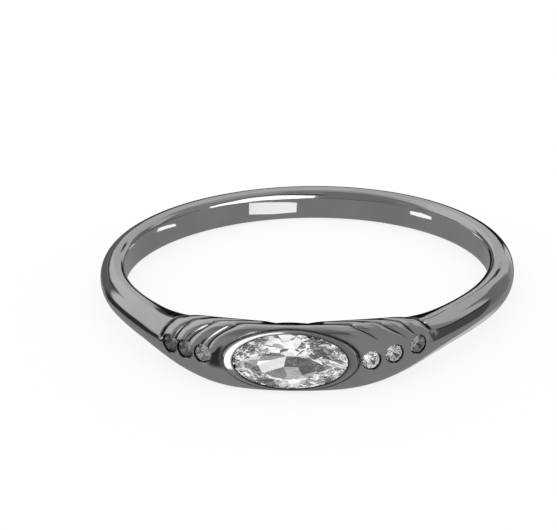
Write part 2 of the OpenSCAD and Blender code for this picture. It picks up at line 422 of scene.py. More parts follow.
def tarnish_and_shade_group() -> bpy.types.NodeTree:
    """Makes the mask of the dark clefts, partly oxide and partly painted shade, broken up with fine grain.

    Returns:
        The group.
    """
    graph, given, result = new_group("tarnish_mask", {"Cleft": 0.0, "Grain Scale": 5000.0}, ["Mask"])
    place = graph.add("TexCoord").outputs["Object"]
    grain = graph.add("TexNoise", {"Vector": place, "Scale": given["Grain Scale"], "Detail": 3.0})
    worn = graph.spread(grain.outputs["Fac"], low=0.3, high=0.6, to_low=0.85, to_high=1.0)
    graph.plug(result["Mask"], graph.math("MULTIPLY", given["Cleft"], worn))
    return graph.tree


@dataclass(frozen=True)
class PolishedSilver:
    """Polished silver with the slow waves of hand polish, and clefts that are painted dark.

    The shade is the colour that the smudges give it. The dark colour of the clefts is partly oxide,
    and partly painted shade and painted dark reflection. The heights are in millimetres.
    """

    colour: Colour = (0.62, 0.615, 0.605, 1.0)
    shade: Colour = (0.56, 0.553, 0.54, 1.0)
    # The dark colour of the clefts: painted shade and painted dark reflection, with some oxide.
    tarnish: Colour = (0.018, 0.017, 0.016, 1.0)
    clean_roughness: float = 0.03
    smudged_roughness: float = 0.07
    scratched_roughness: float = 0.05
    tarnish_and_shade_roughness: float = 0.4
    wave_scale: float = 600.0
    wave_height: float = 0.014
    scratch_height: float = 0.0002

    def material(self, polish: bpy.types.NodeTree) -> bpy.types.Material:
        """Makes the silver.

        Args:
            polish: The hand polish group.

        Returns:
            The material. Its dark clefts, partly oxide and partly painted shade, follow the piece's own
            attribute.
        """
        made, graph, shader = new_material("polished_silver")
        worn = graph.group(polish, wave_scale=self.wave_scale, wave_height=self.wave_height,
                           scratch_height=self.scratch_height).outputs
        cleft = graph.add("Attribute", attribute_name=TARNISH_AND_SHADE, attribute_type="GEOMETRY").outputs["Fac"]
        mask = graph.group(tarnish_and_shade_group(), cleft=cleft).outputs["Mask"]
        colour = graph.mixed(worn["Smudges"], self.colour, self.shade)
        # Paints the clefts dark: painted shade and painted dark reflection, with some oxide.
        graph.plug(shader.inputs["Base Color"], graph.mixed(mask, colour, self.tarnish))
        smudged = graph.spread(worn["Smudges"], 0.0, 1.0, self.clean_roughness, self.smudged_roughness)
        scratched = graph.math("MULTIPLY_ADD", worn["Scratches"], self.scratched_roughness, smudged)
        rough_in_clefts = graph.math("MULTIPLY_ADD", mask, self.tarnish_and_shade_roughness, scratched)
        graph.plug(shader.inputs["Roughness"], rough_in_clefts)
        shader.inputs["Metallic"].default_value = 1.0
        graph.plug(shader.inputs["Normal"], graph.bumped(worn["Height"]))
        return made


@dataclass(frozen=True)
class ClearStone:
    """A clear cut stone of high refraction, with fine wear marks of a height in millimetres."""

    name: str
    colour: Colour
    refraction: float = 1.8
    wear_height: float = 0.0001
    scratched_roughness: float = 0.04

    def material(self, polish: bpy.types.NodeTree) -> bpy.types.Material:
        """Makes the stone's glass.

        Args:
            polish: The hand polish group, whose scratches wear it.

        Returns:
            The material.
        """
        made, graph, shader = new_material(self.name)
        marks = graph.group(polish, wave_height=0.0, scratch_height=self.wear_height).outputs
        shader.inputs["Base Color"].default_value = self.colour
        shader.inputs["Metallic"].default_value = 0.0
        shader.inputs["Transmission Weight"].default_value = 1.0
        shader.inputs["IOR"].default_value = self.refraction
        roughness = graph.spread(marks["Scratches"], 0.0, 1.0, to_high=self.scratched_roughness)
        graph.plug(shader.inputs["Roughness"], roughness)
        graph.plug(shader.inputs["Normal"], graph.bumped(marks["Height"]))
        return made


@dataclass(frozen=True)
class Section:
    """The band's section at one place: a superellipse on each side of its crest.

    The crest share is a part of the band's thickness. The bulge is how far the inner side would
    reach into the finger hole, in millimetres, if it weren't held at the hole's wall.
    """

    outer_power: float
    inner_power: float
    crest_share: float
    bore_bulge: float


@dataclass(frozen=True)
class Groove:
    """A groove between two ripples: an ellipse round the oval stone, in millimetres.

    Its reach is the height at which the ellipse would close, as a share of half the head's height.
    It doesn't close there, but goes on at no less than a share of its distance from the stone.
    """

    left_arc: float
    right_arc: float
    reach: float
    least_share: float = 0.35

    def middle(self, side: Side) -> float:
        """Returns how far the groove lies from the stone at mid height."""
        return self.left_arc if side is Side.LEFT else self.right_arc

    def arc(self, side: Side, height: np.ndarray) -> np.ndarray:
        """Finds how far the groove lies from the stone.

        Args:
            side: The shoulder that it is on.
            height: The height on the section, as a share of half the head's height.

        Returns:
            The distance along the front, in millimetres.
        """
        share = np.sqrt(np.maximum(1 - (height / self.reach) ** 2, self.least_share**2))
        return self.middle(side) * share


@dataclass(frozen=True)
class Seat:
    """The seat of an accent stone, in millimetres. Its axis points out of the band."""

    left_arc: float
    right_arc: float
    left_height: float
    right_height: float

    def arc(self, side: Side) -> float:
        """Returns how far the seat lies from the oval stone, along the front."""
        return self.left_arc if side is Side.LEFT else self.right_arc

    def height(self, side: Side) -> float:
        """Returns how high the seat lies over the middle of the band."""
        return self.left_height if side is Side.LEFT else self.right_height


@dataclass
class Band:
    """The cast band: shank, swollen head, rippled shoulders and bezel. Sizes are in millimetres.

    A name that ends in arc is a distance from the oval stone's middle, along the circle of the
    head's front. A height on the section is a share of half the head's height.
    """

    # The shank, and the head that it swells into.
    bore_r: float = 8.5
    shank_thickness: float = 1.23
    shank_height: float = 1.58
    head_thickness: float = 2.23
    head_height: float = 2.96
    head_raise: float = 0.07
    plateau_arc: float = 1.6
    height_end_arc: float = 9.1
    thickness_end_arc: float = 12.4
    shank: Section = Section(outer_power=2.13, inner_power=3.0, crest_share=0.45, bore_bulge=0.06)
    head: Section = Section(outer_power=2.95, inner_power=1.76, crest_share=0.76, bore_bulge=0.12)
    edge_round: float = 0.14
    # The grooves, outward from the stone: left arc, right arc and reach.
    grooves: tuple[Groove, ...] = (
        Groove(3.88, 4.4, 1.3),
        Groove(4.98, 5.75, 1.5),
        Groove(5.72, 6.15, 2.1),
        Groove(6.68, 7.2, 2.5),
    )
    groove_depth: float = 0.12
    groove_foot: float = 0.1
    ripple_power: float = 3.0
    # Heights between which the ripples rise at each shoulder, and fade at the upper edge.
    left_rise: tuple[float, float] = (0.02, 0.3)
    right_rise: tuple[float, float] = (0.45, 0.85)
    edge_fade: tuple[float, float] = (1.1, 1.5)
    # Where the raise of the head ends: across the last ripple above, and between two arcs below.
    raise_end_share: float = 0.7
    lower_raise: tuple[float, float] = (5.0, 9.5)
    raise_blend: float = 0.6
    # The worn dip in the head's upper edge.
    rim_dip: float = 0.12
    rim_dip_arc: float = 1.7
    rim_dip_heights: tuple[float, float, float] = (1.0, 1.5, 2.0)
    # The bezel: its outsets are those from the stone's length and width.
    stone_length: float = 5.14
    stone_width: float = 2.68
    lip_depth: float = 0.085
    lip_cover: float = 0.03
    rim_outset: tuple[float, float] = (0.38, 0.08)
    rim_drop: float = 0.055
    crease_outset: tuple[float, float] = (0.5, 0.12)
    crease_drop: float = 0.35
    bezel_root: float = 1.0
    bezel_round: tuple[float, float] = (0.12, 0.4)
    # The pocket that holds the oval stone.
    stone_gap: float = 0.02
    girdle_depth: float = 0.24
    girdle_height: float = 0.067
    seat_clearance: float = 0.09
    oval_pavilion: float = 1.1524
    culet_clearance_share: float = 0.1
    past: float = 0.3
    # The accent stones' seats, outward from the stone: left and right arc, left and right height.
    seats: tuple[Seat, ...] = (
        Seat(4.07, 3.63, 0.0, -0.15),
        Seat(5.04, 4.76, 0.0, -0.03),
        Seat(6.0, 6.06, 0.0, 0.1),
    )
    seat_mouth_r: float = 0.47
    seat_wall_r: float = 0.42
    seat_bevel: float = 0.07
    seat_floor: float = 0.3
    accent_pavilion: float = 0.344
    # How wide the painted shade, with some oxide, is in the grooves, at the crease and at the lip, and
    # where the seats have it.
    cleft_width: float = 0.05
    cleft_fill: float = 1.7
    crease_tarnish_and_shade_share: float = 0.03
    lip_tarnish: float = 0.045
    seat_rim: float = 0.015
    seat_reach: float = 1.0
    # The mesh: the columns' spacing in each span from the stone to the back, and the rows.
    column_steps: tuple[float, ...] = (0.075, 0.05, 0.042, 0.042, 0.042, 0.04, 0.12, 0.28)
    outer_rows: int = 34
    inner_rows: int = 24
    wall_rows: int = 8
    row_crowding: float = 1.7
    bezel_steps: int = 10
    oval_sides: int = 224
    seat_sides: int = 72
    sharp_degrees: float = 34.0

    @property
    def front_r(self) -> float:
        """Returns the radius of the head's front."""
        return self.bore_r + self.head_thickness + self.head_raise

    @property
    def half_turn_arc(self) -> float:
        """Returns the distance from the stone to the middle of the back, along the front's circle."""
        return math.pi * self.front_r

    @property
    def crease_arc(self) -> float:
        """Returns the distance of the bezel's crease from the stone's middle, along the front."""
        return self.stone_length / 2 + self.crease_outset[0]

    @property
    def crease_height(self) -> float:
        """Returns half the height of the bezel's crease."""
        return self.stone_width / 2 + self.crease_outset[1]

    def swell(self, arc: np.ndarray, end: float) -> np.ndarray:
        """Returns 1 on the head, falling to 0 at an end arc."""
        return 1 - ease((arc - self.plateau_arc) / (end - self.plateau_arc))

    def half_height(self, arc: np.ndarray) -> np.ndarray:
        """Returns half the band's height at a distance from the stone."""
        return between(self.shank_height, self.head_height, self.swell(arc, self.height_end_arc)) / 2

    def thickness(self, arc: np.ndarray) -> np.ndarray:
        """Returns the band's thickness at a distance from the stone."""
        swell = self.swell(arc, self.thickness_end_arc)
        return between(self.shank_thickness, self.head_thickness, swell)

    def section(self, name: str, arc: np.ndarray) -> np.ndarray:
        """Returns one value of the section at a distance from the stone."""
        swell = self.swell(arc, self.thickness_end_arc)
        return between(getattr(self.shank, name), getattr(self.head, name), swell)

    def crest(self, arc: np.ndarray) -> np.ndarray:
        """Returns how far the section's crest stands from the finger hole."""
        return self.section("crest_share", arc) * self.thickness(arc)

    def row_angle(self, place: np.ndarray, arc: np.ndarray) -> np.ndarray:
        """Turns places round the section into angles.

        Args:
            place: 0 at the front, 1 at the top, 2 at the finger hole's edge and 3 on its wall.
            arc: The distance from the stone.

        Returns:
            The angles, in radians, with the sign of the places.
        """
        crest = self.crest(arc)
        bulge = self.section("bore_bulge", arc)
        edge_cosine = (crest / (crest + bulge)) ** (self.section("inner_power", arc) / 2)
        edge = math.pi - np.arccos(edge_cosine)
        quarter = math.pi / 2
        size = np.abs(place)
        turned = quarter * clamped(size)
        turned = turned + (edge - quarter) * clamped(size - 1) + (math.pi - edge) * clamped(size - 2)
        return np.sign(place) * turned

    def places(self) -> np.ndarray:
        """Lists the rows' places round the section.

        Returns:
            The places, from the wall below to the wall above, closest beside the hole's edges.
        """
        front = np.linspace(0, 1, self.outer_rows, endpoint=False)
        inner = 2 - (1 - np.linspace(0, 1, self.inner_rows, endpoint=False)) ** self.row_crowding
        wall = 2 + np.linspace(0, 1, self.wall_rows + 1) ** self.row_crowding
        upper = np.concatenate([front, inner, wall])
        return np.concatenate([-upper[:0:-1], upper[:-1]])

    def reach(self, place: np.ndarray) -> np.ndarray:
        """Finds the height reached on the head's section, which goes on growing past the edge.

        Args:
            place: The places round the section.

        Returns:
            The height, as a share of half the head's height.
        """
        turned = np.abs(self.row_angle(place, np.zeros_like(place)))
        head = self.head
        inner_depth = head.crest_share * self.head_thickness + head.bore_bulge
        outer = np.abs(np.sin(turned)) ** (2 / head.outer_power)
        inner = np.abs(np.cos(turned)) ** (2 / head.inner_power) * inner_depth
        return np.where(turned <= math.pi / 2, outer, 1 + inner / (self.head_height / 2))

    def span_ends(self, side: Side, height: np.ndarray) -> list[np.ndarray]:
        """Lists the distances at which the grid's spans end, from the stone to the back.

        Args:
            side: The shoulder.
            height: The height on the section, as a share of half the head's height.

        Returns:
            The ends: middle, crease, grooves, foot, taper and back.
        """
        grooves = [groove.arc(side, height) for groove in self.grooves]
        crease = self.crease_arc / self.grooves[0].middle(side) * grooves[0]
        whole = np.ones_like(height)
        tail = [grooves[-1] + self.groove_foot, self.thickness_end_arc * whole, self.half_turn_arc * whole]
        return [0 * whole, crease, *grooves, *tail]

    def crown(self, share: np.ndarray) -> np.ndarray:
        """Returns a ripple's crown, 1 in its middle and 0 at the grooves beside it."""
        return 1 - np.abs(2 * clamped(share) - 1) ** self.ripple_power

    def inner_ripple_share(self, side: Side, arc: np.ndarray, height: np.ndarray) -> np.ndarray:
        """Finds where a point lies across the innermost ripple.

        Args:
            side: The shoulder.
            arc: The point's distance from the stone.
            height: Its height, as a share of half the head's height.

        Returns:
            0 at the bezel's crease and 1 at the first groove.
        """
        groove = self.grooves[0]
        to_crease = np.hypot(arc / self.crease_arc, height * self.head_height / 2 / self.crease_height)
        to_groove = np.hypot(arc / groove.middle(side), height / groove.reach)
        width = to_crease / np.maximum(to_groove, TINY) - 1
        share = (to_crease - 1) / np.maximum(width, TINY)
        return np.where(to_crease <= 1, 0.0, share)

    def ripple_strength(self, side: Side, height: np.ndarray) -> np.ndarray:
        """Finds how strongly the ripples show on the upper half.

        Args:
            side: The shoulder.
            height: The heights on the section.

        Returns:
            The strength at each row, from 0 to 1.
        """
        start, end = self.left_rise if side is Side.LEFT else self.right_rise
        rise = ease((height - start) / (end - start))
        fall = 1 - ease((height - self.edge_fade[0]) / (self.edge_fade[1] - self.edge_fade[0]))
        return rise * fall

    def dip(self, arc: np.ndarray, height: np.ndarray) -> np.ndarray:
        """Finds how far the head's upper edge is worn down.

        Args:
            arc: The distances from the stone.
            height: The heights on the section.

        Returns:
            The dip at each row, in millimetres.
        """
        start, middle, end = self.rim_dip_heights
        along = 1 - ease(arc / self.rim_dip_arc)
        across = ease((height - start) / (middle - start)) * (1 - ease((height - middle) / (end - middle)))
        return self.rim_dip * along * across

    def raised(self, span: int, share: float, arc: np.ndarray, upper: np.ndarray) -> np.ndarray:
        """Finds how far the head stands proud.

        Args:
            span: The span of the grid.
            share: The way across the span.
            arc: The distances from the stone.
            upper: How far the upper half's form holds at each row, from 0 to 1.

        Returns:
            The raise at each row, in millimetres.
        """
        start, end = self.lower_raise
        below = self.head_raise * (1 - ease((arc - start) / (end - start)))
        last_ripple = len(self.grooves)
        drop = 1.0 if span > last_ripple else 0.0
        if span == last_ripple:
            drop = float(ease(np.array((share - self.raise_end_share) / (1 - self.raise_end_share))))
        return between(below, self.head_raise * (1 - drop), upper)

    def groove_share(self, side: Side, span: int, share: float, arc: np.ndarray,
                     height: np.ndarray) -> np.ndarray:
        """Finds how far down into a groove a point lies.

        Args:
            side: The shoulder.
            span: The span of the grid.
            share: The way across the span.
            arc: The distances from the stone.
            height: The heights on the section.

        Returns:
            0 on a ripple's crown and 1 on a groove's floor. The innermost ripple falls on one side
            alone.
        """
        foot = len(self.grooves) + 1
        if span > foot:
            return np.zeros_like(arc)
        if span == foot:
            return np.full_like(arc, 1 - share)
        if span > 1:
            return np.full_like(arc, 1 - self.crown(np.array(share)))
        return 1 - self.crown((1 + self.inner_ripple_share(side, arc, height)) / 2)

    def relief(self, side: Side, span: int, share: float, arc: np.ndarray, place: np.ndarray) -> np.ndarray:
        """Finds how far the surface is raised over the plain band.

        Args:
            side: The shoulder.
            span: The span of the grid.
            share: The way across the span.
            arc: The distances from the stone.
            place: The places round the section.

        Returns:
            The raise at each row, in millimetres.
        """
        height = self.reach(place)
        upper = place > 0
        groove = self.groove_depth * self.groove_share(side, span, share, arc, height)
        worn = groove * self.ripple_strength(side, height) + self.dip(arc, height)
        blend = np.where(upper, ease(height / self.raise_blend), 0.0)
        return self.raised(span, share, arc, blend) - np.where(upper, worn, 0.0)

    def cleft(self, side: Side, arc: np.ndarray, place: np.ndarray) -> np.ndarray:
        """Finds how deep each row lies in a groove's floor, which is painted dark: painted shade and
        painted dark reflection, with some oxide.

        Args:
            side: The shoulder.
            arc: The distances from the stone.
            place: The places round the section.

        Returns:
            The depth at each row, from 0 to 1.
        """
        height = self.reach(place)
        lines = [bell(arc - groove.arc(side, height), self.cleft_width) for groove in self.grooves]
        found = np.max(lines, axis=0) * self.ripple_strength(side, height)
        return np.where(place > 0, clamped(self.cleft_fill * found), 0.0)

    def column(self, side: Side, span: int, share: float) -> np.ndarray:
        """Works out one column of the band's skin, all the way round the section.

        Args:
            side: The shoulder.
            span: The span of the grid that the column is in.
            share: The way across the span.

        Returns:
            A row for each point: its place in millimetres, and how deep in a groove it lies.
        """
        place = self.places()
        ends = self.span_ends(side, self.reach(place))
        arc = between(ends[span], ends[span + 1], share)
        row = self.row_angle(place, arc)
        outer = np.cos(row) > 0
        crest = self.crest(arc)
        depth = np.where(outer, self.thickness(arc) - crest, crest + self.section("bore_bulge", arc))
        power = np.where(outer, self.section("outer_power", arc), self.section("inner_power", arc))
        half = self.half_height(arc)
        # A point of the superellipse, and the way that its surface faces there.
        across = signed_power(np.cos(row), 2 / power)
        along = signed_power(np.sin(row), 2 / power)
        slope_across = signed_power(across, power - 1) / depth
        slope_along = signed_power(along, power - 1) / half
        rise = self.relief(side, span, share, arc, place) / np.hypot(slope_across, slope_along)
        # The section bulges into the finger hole, and is held at its wall with a rounded edge.
        over_bore = crest + depth * across + rise * slope_across
        over_bore = (over_bore + np.hypot(over_bore, self.edge_round)) / 2
        radius = self.bore_r + over_bore
        height = half * along + rise * slope_along
        turn = side.value * arc / self.front_r
        cleft = self.cleft(side, arc, place)
        return np.stack([radius * np.sin(turn), -radius * np.cos(turn), height, cleft], axis=1)

    def stations(self) -> list[tuple[int, float]]:
        """Lists the columns of one side, from the stone to the back.

        Returns:
            The span and the share across it of each column.
        """
        ends = self.span_ends(Side.RIGHT, np.zeros(1))
        found = []
        for span, step in enumerate(self.column_steps):
            width = float(ends[span + 1][0] - ends[span][0])
            found += [(span, float(share)) for share in spaced(0.0, 1.0, step / width)]
        return found

    def skin(self) -> bpy.types.Object:
        """Makes the band without its bezel and seats.

        Returns:
            A closed mesh, which keeps how deep in a groove each point lies.
        """
        stations = self.stations()
        back = (len(self.column_steps) - 1, 1.0)
        places = [(Side.RIGHT, *station) for station in [*stations, back]]
        places += [(Side.LEFT, *station) for station in reversed(stations[1:])]
        columns = [self.column(*place) for place in places]
        rows = np.concatenate(columns)
        faces = tube_faces(len(columns), len(columns[0]), closed=True)
        piece = new_object("band", rows[:, :3] * MM, faces)
        piece.data.attributes.new(TARNISH_AND_SHADE, "FLOAT", "POINT").data.foreach_set("value", rows[:, 3])
        return piece

    def ovals(self, rings: list[tuple[float, float, float]]) -> Shell:
        """Stacks ovals that face -Y.

        Args:
            rings: Half length, half width and Y of each oval, from the deepest outward.

        Returns:
            The points, in metres, and the faces of a closed shell.
        """
        turn = round_angles(self.oval_sides)
        level = np.ones_like(turn)
        rows = [np.stack([half_l * np.cos(turn), y * level, half_w * np.sin(turn)], axis=1)
                for half_l, half_w, y in rings]
        return np.concatenate(rows) * MM, tube_faces(len(rings), self.oval_sides)

    def bezel_profile(self) -> list[np.ndarray]:
        """Lists the bezel's profile: outset from the stone's length and width, and drop.

        Returns:
            The points, from the lip down the rim, round its edge and down the wall to the root.
        """
        lip = np.array([-self.lip_cover, -self.lip_cover, 0.0])
        edge = np.array([*self.rim_outset, self.rim_drop])
        crease = np.array([*self.crease_outset, self.crease_drop])
        start = between(edge, lip, self.bezel_round[0])
        end = between(edge, crease, self.bezel_round[1])
        steps = np.linspace(0, 1, self.bezel_steps + 1)
        rim = [between(lip, start, share) for share in steps[:-1]]
        bend = [between(between(start, edge, share), between(edge, end, share), share)
                for share in steps[:-1]]
        wall = [between(end, crease, share) for share in steps]
        return [*rim, *bend, *wall, np.array([*self.crease_outset, self.bezel_root])]

    def bezel(self) -> bpy.types.Object:
        """Makes the bezel.

        Returns:
            A solid oval with a nearly flat rim and a steep wall down to the crease.
        """
        half_l, half_w = self.stone_length / 2, self.stone_width / 2
        plane = self.front_r - self.lip_depth
        rings = [(half_l + out_l, half_w + out_w, drop - plane)
                 for out_l, out_w, drop in reversed(self.bezel_profile())]
        return new_object("bezel", *self.ovals(rings))

    def oval_pocket(self) -> Shell:
        """Works out the pocket that holds the oval stone.

        Returns:
            The shell of the hollow, from the culet's clearance out past the lip.
        """
        half_l, half_w = self.stone_length / 2, self.stone_width / 2
        girdle_r = self.front_r - self.girdle_depth
        under_lip = -girdle_r - self.lip_cover
        seat_top = self.girdle_height - girdle_r + self.seat_clearance
        seat_end = seat_top + self.oval_pavilion + self.stone_gap
        open_l, open_w = half_l - self.lip_cover, half_w - self.lip_cover
        wall_l, wall_w = half_l + self.stone_gap, half_w + self.stone_gap
        end_l, end_w = wall_l * self.culet_clearance_share, wall_w * self.culet_clearance_share
        return self.ovals([
            (end_l, end_w, seat_end),
            (wall_l, wall_w, seat_top),
            (wall_l, wall_w, under_lip + self.stone_gap),
            (open_l, open_w, under_lip - self.stone_gap),
            (open_l, open_w, -self.front_r - self.past),
        ])

    def seat_axis(self, side: Side, seat: Seat) -> tuple[np.ndarray, np.ndarray, np.ndarray]:
        """Finds where an accent stone's seat stands.

        Args:
            side: The shoulder.
            seat: The seat.

        Returns:
            The seat's place on the surface, its axis out of the band and the direction beside it.
        """
        arc = seat.arc(side)
        turn = side.value * arc / self.front_r
        axis = np.array([math.sin(turn), -math.cos(turn), 0.0])
        beside = np.array([math.cos(turn), math.sin(turn), 0.0])
        surface_r = self.bore_r + float(self.thickness(np.array(arc))) + self.head_raise
        return surface_r * axis + np.array([0, 0, seat.height(side)]), axis, beside

    def accent_seat(self, side: Side, seat: Seat) -> Shell:
        """Works out the hollow that holds an accent stone.

        Args:
            side: The shoulder.
            seat: The seat.

        Returns:
            The shell of the hollow, from the culet's clearance out past the mouth.
        """
        place, axis, beside = self.seat_axis(side, seat)
        profile = [
            (self.seat_wall_r * self.culet_clearance_share, -self.seat_floor - self.accent_pavilion),
            (self.seat_wall_r, -self.seat_floor),
            (self.seat_wall_r, -self.seat_bevel),
            (self.seat_mouth_r, 0.0),
            (self.seat_mouth_r, self.past),
        ]
        turn = round_angles(self.seat_sides)
        ring = np.outer(np.cos(turn), beside) + np.outer(np.sin(turn), [0, 0, 1])
        rows = [place + radius * ring + height * axis for radius, height in profile]
        return np.concatenate(rows) * MM, tube_faces(len(rows), self.seat_sides)

    def every_seat(self) -> list[tuple[Side, Seat]]:
        """Returns each shoulder with each of its seats."""
        return [(side, seat) for side in Side for seat in self.seats]

    def tarnish(self, points: np.ndarray, found: np.ndarray) -> np.ndarray:
        """Finds the painted shade, with some oxide, in the groove floors, the bezel's crease, the lip and
        the seats.

        Args:
            points: Points on the band, in millimetres.
            found: The painted shade of the groove floors at each point.

        Returns:
            The painted shade at each point, from 0 to 1.
        """
        radius = np.hypot(points[:, 0], points[:, 1])
        arc = np.abs(np.arctan2(points[:, 0], -points[:, 1])) * self.front_r
        outside = radius >= self.bore_r + self.crest(arc)
        # Painted shade at the foot of the bezel's wall, in the gap at the lip and inside the seats, under
        # the accent stones.
        crease = np.hypot(arc / self.crease_arc, points[:, 2] / self.crease_height) - 1
        found = np.maximum(found, bell(crease, self.crease_tarnish_and_shade_share) * outside)
        open_l, open_w = self.stone_length / 2 - self.lip_cover, self.stone_width / 2 - self.lip_cover
        lip = (np.hypot(points[:, 0] / open_l, points[:, 2] / open_w) - 1) * open_w
        found = np.maximum(found, bell(lip, self.lip_tarnish) * (points[:, 1] < 0) * outside)
        for side, seat in self.every_seat():
            place, axis, _ = self.seat_axis(side, seat)
            offset = points - place
            depth = offset @ axis
            away = np.linalg.norm(offset - np.outer(depth, axis), axis=1)
            inside = (away < self.seat_mouth_r - self.seat_rim) & (np.abs(depth) < self.seat_reach)
            found = np.maximum(found, np.where(inside, 1.0, 0.0))
        return found

    def build(self) -> bpy.types.Object:
        """Makes the skin, joins the bezel to it and cuts the hollows for the stones.

        Returns:
            The band, which keeps at each point its painted shade, with some oxide.
        """
        piece = self.skin()
        apply_boolean(piece, self.bezel(), Operation.JOIN)
        shells = [self.oval_pocket()] + [self.accent_seat(*pair) for pair in self.every_seat()]
        apply_boolean(piece, merged("cutters", shells), Operation.CUT)
        mesh = piece.data
        clefts = np.zeros(len(mesh.vertices))
        kept = mesh.attributes[TARNISH_AND_SHADE].data
        kept.foreach_get("value", clefts)
        kept.foreach_set("value", self.tarnish(mesh_points(piece) / MM, clefts))
        mesh.shade_smooth()
        mesh.set_sharp_from_angle(angle=math.radians(self.sharp_degrees))
        return piece

    def dress(self, piece: bpy.types.Object, polish: bpy.types.NodeTree) -> None:
        """Gives the band its polished silver. The stones' own rays pass it by."""
        give_material(piece, PolishedSilver().material(polish))
        hide_from(piece, Ray.TRANSMISSION)


@dataclass
class OvalStone:
    """The oval stone: a fine cut of many small facets. Sizes are in millimetres.

    The girdle's radius is its distance from the centre of the ring. Crown, girdle and pavilion are
    shares of half the width. A tier is its size, as a share of the girdle's, and its number of
    corners. Facets that are flat to each other within an angle are joined.
    """

    length: float
    width: float
    girdle_r: float
    crown_share: float = 0.27
    girdle_share: float = 0.05
    pavilion_share: float = 0.86
    table_share: float = 0.56
    table_sides: int = 12
    girdle_sides: int = 64
    crown_tiers: tuple[tuple[float, int], ...] = ((0.8, 12),)
    crown_bulge: float = 1.35
    pavilion_tiers: tuple[tuple[float, int], ...] = ((0.8, 16), (0.6, 12), (0.35, 7))
    pavilion_bulge: float = 1.3
    keel_share: float = 0.08
    irregularity: float = 0.22
    seed: int = 11
    flat_degrees: float = 0.5

    def tier(self, rng: np.random.Generator, share: float, count: int, level: float,
             jitter: float = 0.0) -> np.ndarray:
        """Makes one ring of facet corners.

        Args:
            rng: The source of the uneven spacing.
            share: The ring's size, as a share of the girdle's.
            count: How many corners it has.
            level: Its height over the girdle's upper edge.
            jitter: How unevenly its corners are spaced, as a share of their spacing.

        Returns:
            The corners, with the stone's length along X, its width along Y and its axis along Z.
        """
        uneven = rng.uniform(-jitter, jitter, count)
        start = rng.uniform(0, 1) * (jitter > 0)
        turn = (np.arange(count) + uneven + start) * 2 * math.pi / count
        half_l, half_w = self.length / 2 * share, self.width / 2 * share
        return np.column_stack([half_l * np.cos(turn), half_w * np.sin(turn), np.full(count, level)])

    def corners(self) -> np.ndarray:
        """Lists the corners of all facets.

        Returns:
            The corners of the table, girdle, crown, pavilion and keel. The table faces +Z.
        """
        rng = np.random.default_rng(self.seed)
        half_w = self.width / 2
        crown = half_w * self.crown_share
        girdle = half_w * self.girdle_share
        pavilion = half_w * self.pavilion_share
        rings = [
            self.tier(rng, self.table_share, self.table_sides, crown),
            self.tier(rng, 1.0, self.girdle_sides, 0.0),
            self.tier(rng, 1.0, self.girdle_sides, -girdle),
        ]
        for share, count in self.crown_tiers:
            way = (1 - share) / (1 - self.table_share)
            level = crown * way ** (1 / self.crown_bulge)
            rings.append(self.tier(rng, share, count, level, self.irregularity))
        for share, count in self.pavilion_tiers:
            depth = girdle + pavilion * (1 - share**self.pavilion_bulge)
            rings.append(self.tier(rng, share, count, -depth, self.irregularity))
        keel = self.length / 2 * self.keel_share
        rings.append(np.array([(-keel, 0, -girdle - pavilion), (keel, 0, -girdle - pavilion)]))
        return np.concatenate(rings)

    def build(self) -> bpy.types.Object:
        """Cuts the stone as one convex solid.

        Returns:
            The stone in its bezel, facing -Y.
        """
        points = self.corners()
        placed = np.column_stack([points[:, 0], -self.girdle_r - points[:, 2], points[:, 1]]) * MM
        piece = new_object("oval_cut_stone", placed, [])
        solid = bmesh.new()
        solid.from_mesh(piece.data)
        hull = bmesh.ops.convex_hull(solid, input=solid.verts)
        inside = [item for item in hull["geom_interior"] if isinstance(item, bmesh.types.BMVert)]
        bmesh.ops.delete(solid, geom=inside, context="VERTS")
        flat = math.radians(self.flat_degrees)
        bmesh.ops.dissolve_limit(solid, angle_limit=flat, verts=solid.verts, edges=solid.edges)
        bmesh.ops.recalc_face_normals(solid, faces=solid.faces)
        solid.to_mesh(piece.data)
        solid.free()
        return piece

    def dress(self, piece: bpy.types.Object, polish: bpy.types.NodeTree) -> None:
        """Gives the stone its clear glass, worn by the hand polish group."""
        give_material(piece, ClearStone("clear_oval_stone", WHITE).material(polish))


@dataclass(frozen=True)
class AccentStones:
    """The six small stones in the shoulders, which keep the model's own solids.

    Each stone's glass is darkened to a painted light level by its place in the shoulders: painted shade,
    as the six are the same stone in different light. The blue share is the part of that level that blue
    light keeps.
    """

    # 1 is the clear glass, and less is painted shade.
    painted_light_level: dict[str, float] = field(default_factory=lambda: {
        "left_1": 0.4,
        "left_2": 0.16,
        "left_3": 0.1,
        "right_1": 1.0,
        "right_2": 0.7,
        "right_3": 0.35,
    })
    blue_share: float = 0.98

    def dress(self, polish: bpy.types.NodeTree) -> None:
        """Gives each stone its own glass, darkened by painted shade, and reports it.

        Args:
            polish: The hand polish group.
        """
        for place, painted_light_level in self.painted_light_level.items():
            node = f"accent_stone_{place}"
            # The glass is darkened by painted shade.
            glass = ClearStone(f"{node}_glass", (painted_light_level, painted_light_level, painted_light_level * self.blue_share, 1.0))
            give_material(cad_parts[node], glass.material(polish))
            LOG.info("%s: dressed", node)


def new_glow(name: str, colour: Colour) -> tuple[bpy.types.Material, Graph, bpy.types.Node]:
    """Starts the material of a studio surface, which glows without being sampled as a lamp.

    Args:
        name: The material's name.
        colour: The surface's own colour.

    Returns:
        The material, its graph and its Principled shader.
    """
    made, graph, shader = new_material(name)
    shader.inputs["Base Color"].default_value = colour
    shader.inputs["Specular IOR Level"].default_value = 0.0
    made.cycles.emission_sampling = "NONE"
    return made, graph, shader


def linear_grey(grey: float) -> float:
    """Returns the linear light of a screen's grey level from 0 to 255, by the sRGB curve."""
    share = grey / 255
    return share / 12.92 if share <= 0.04045 else ((share + 0.055) / 1.055) ** 2.4


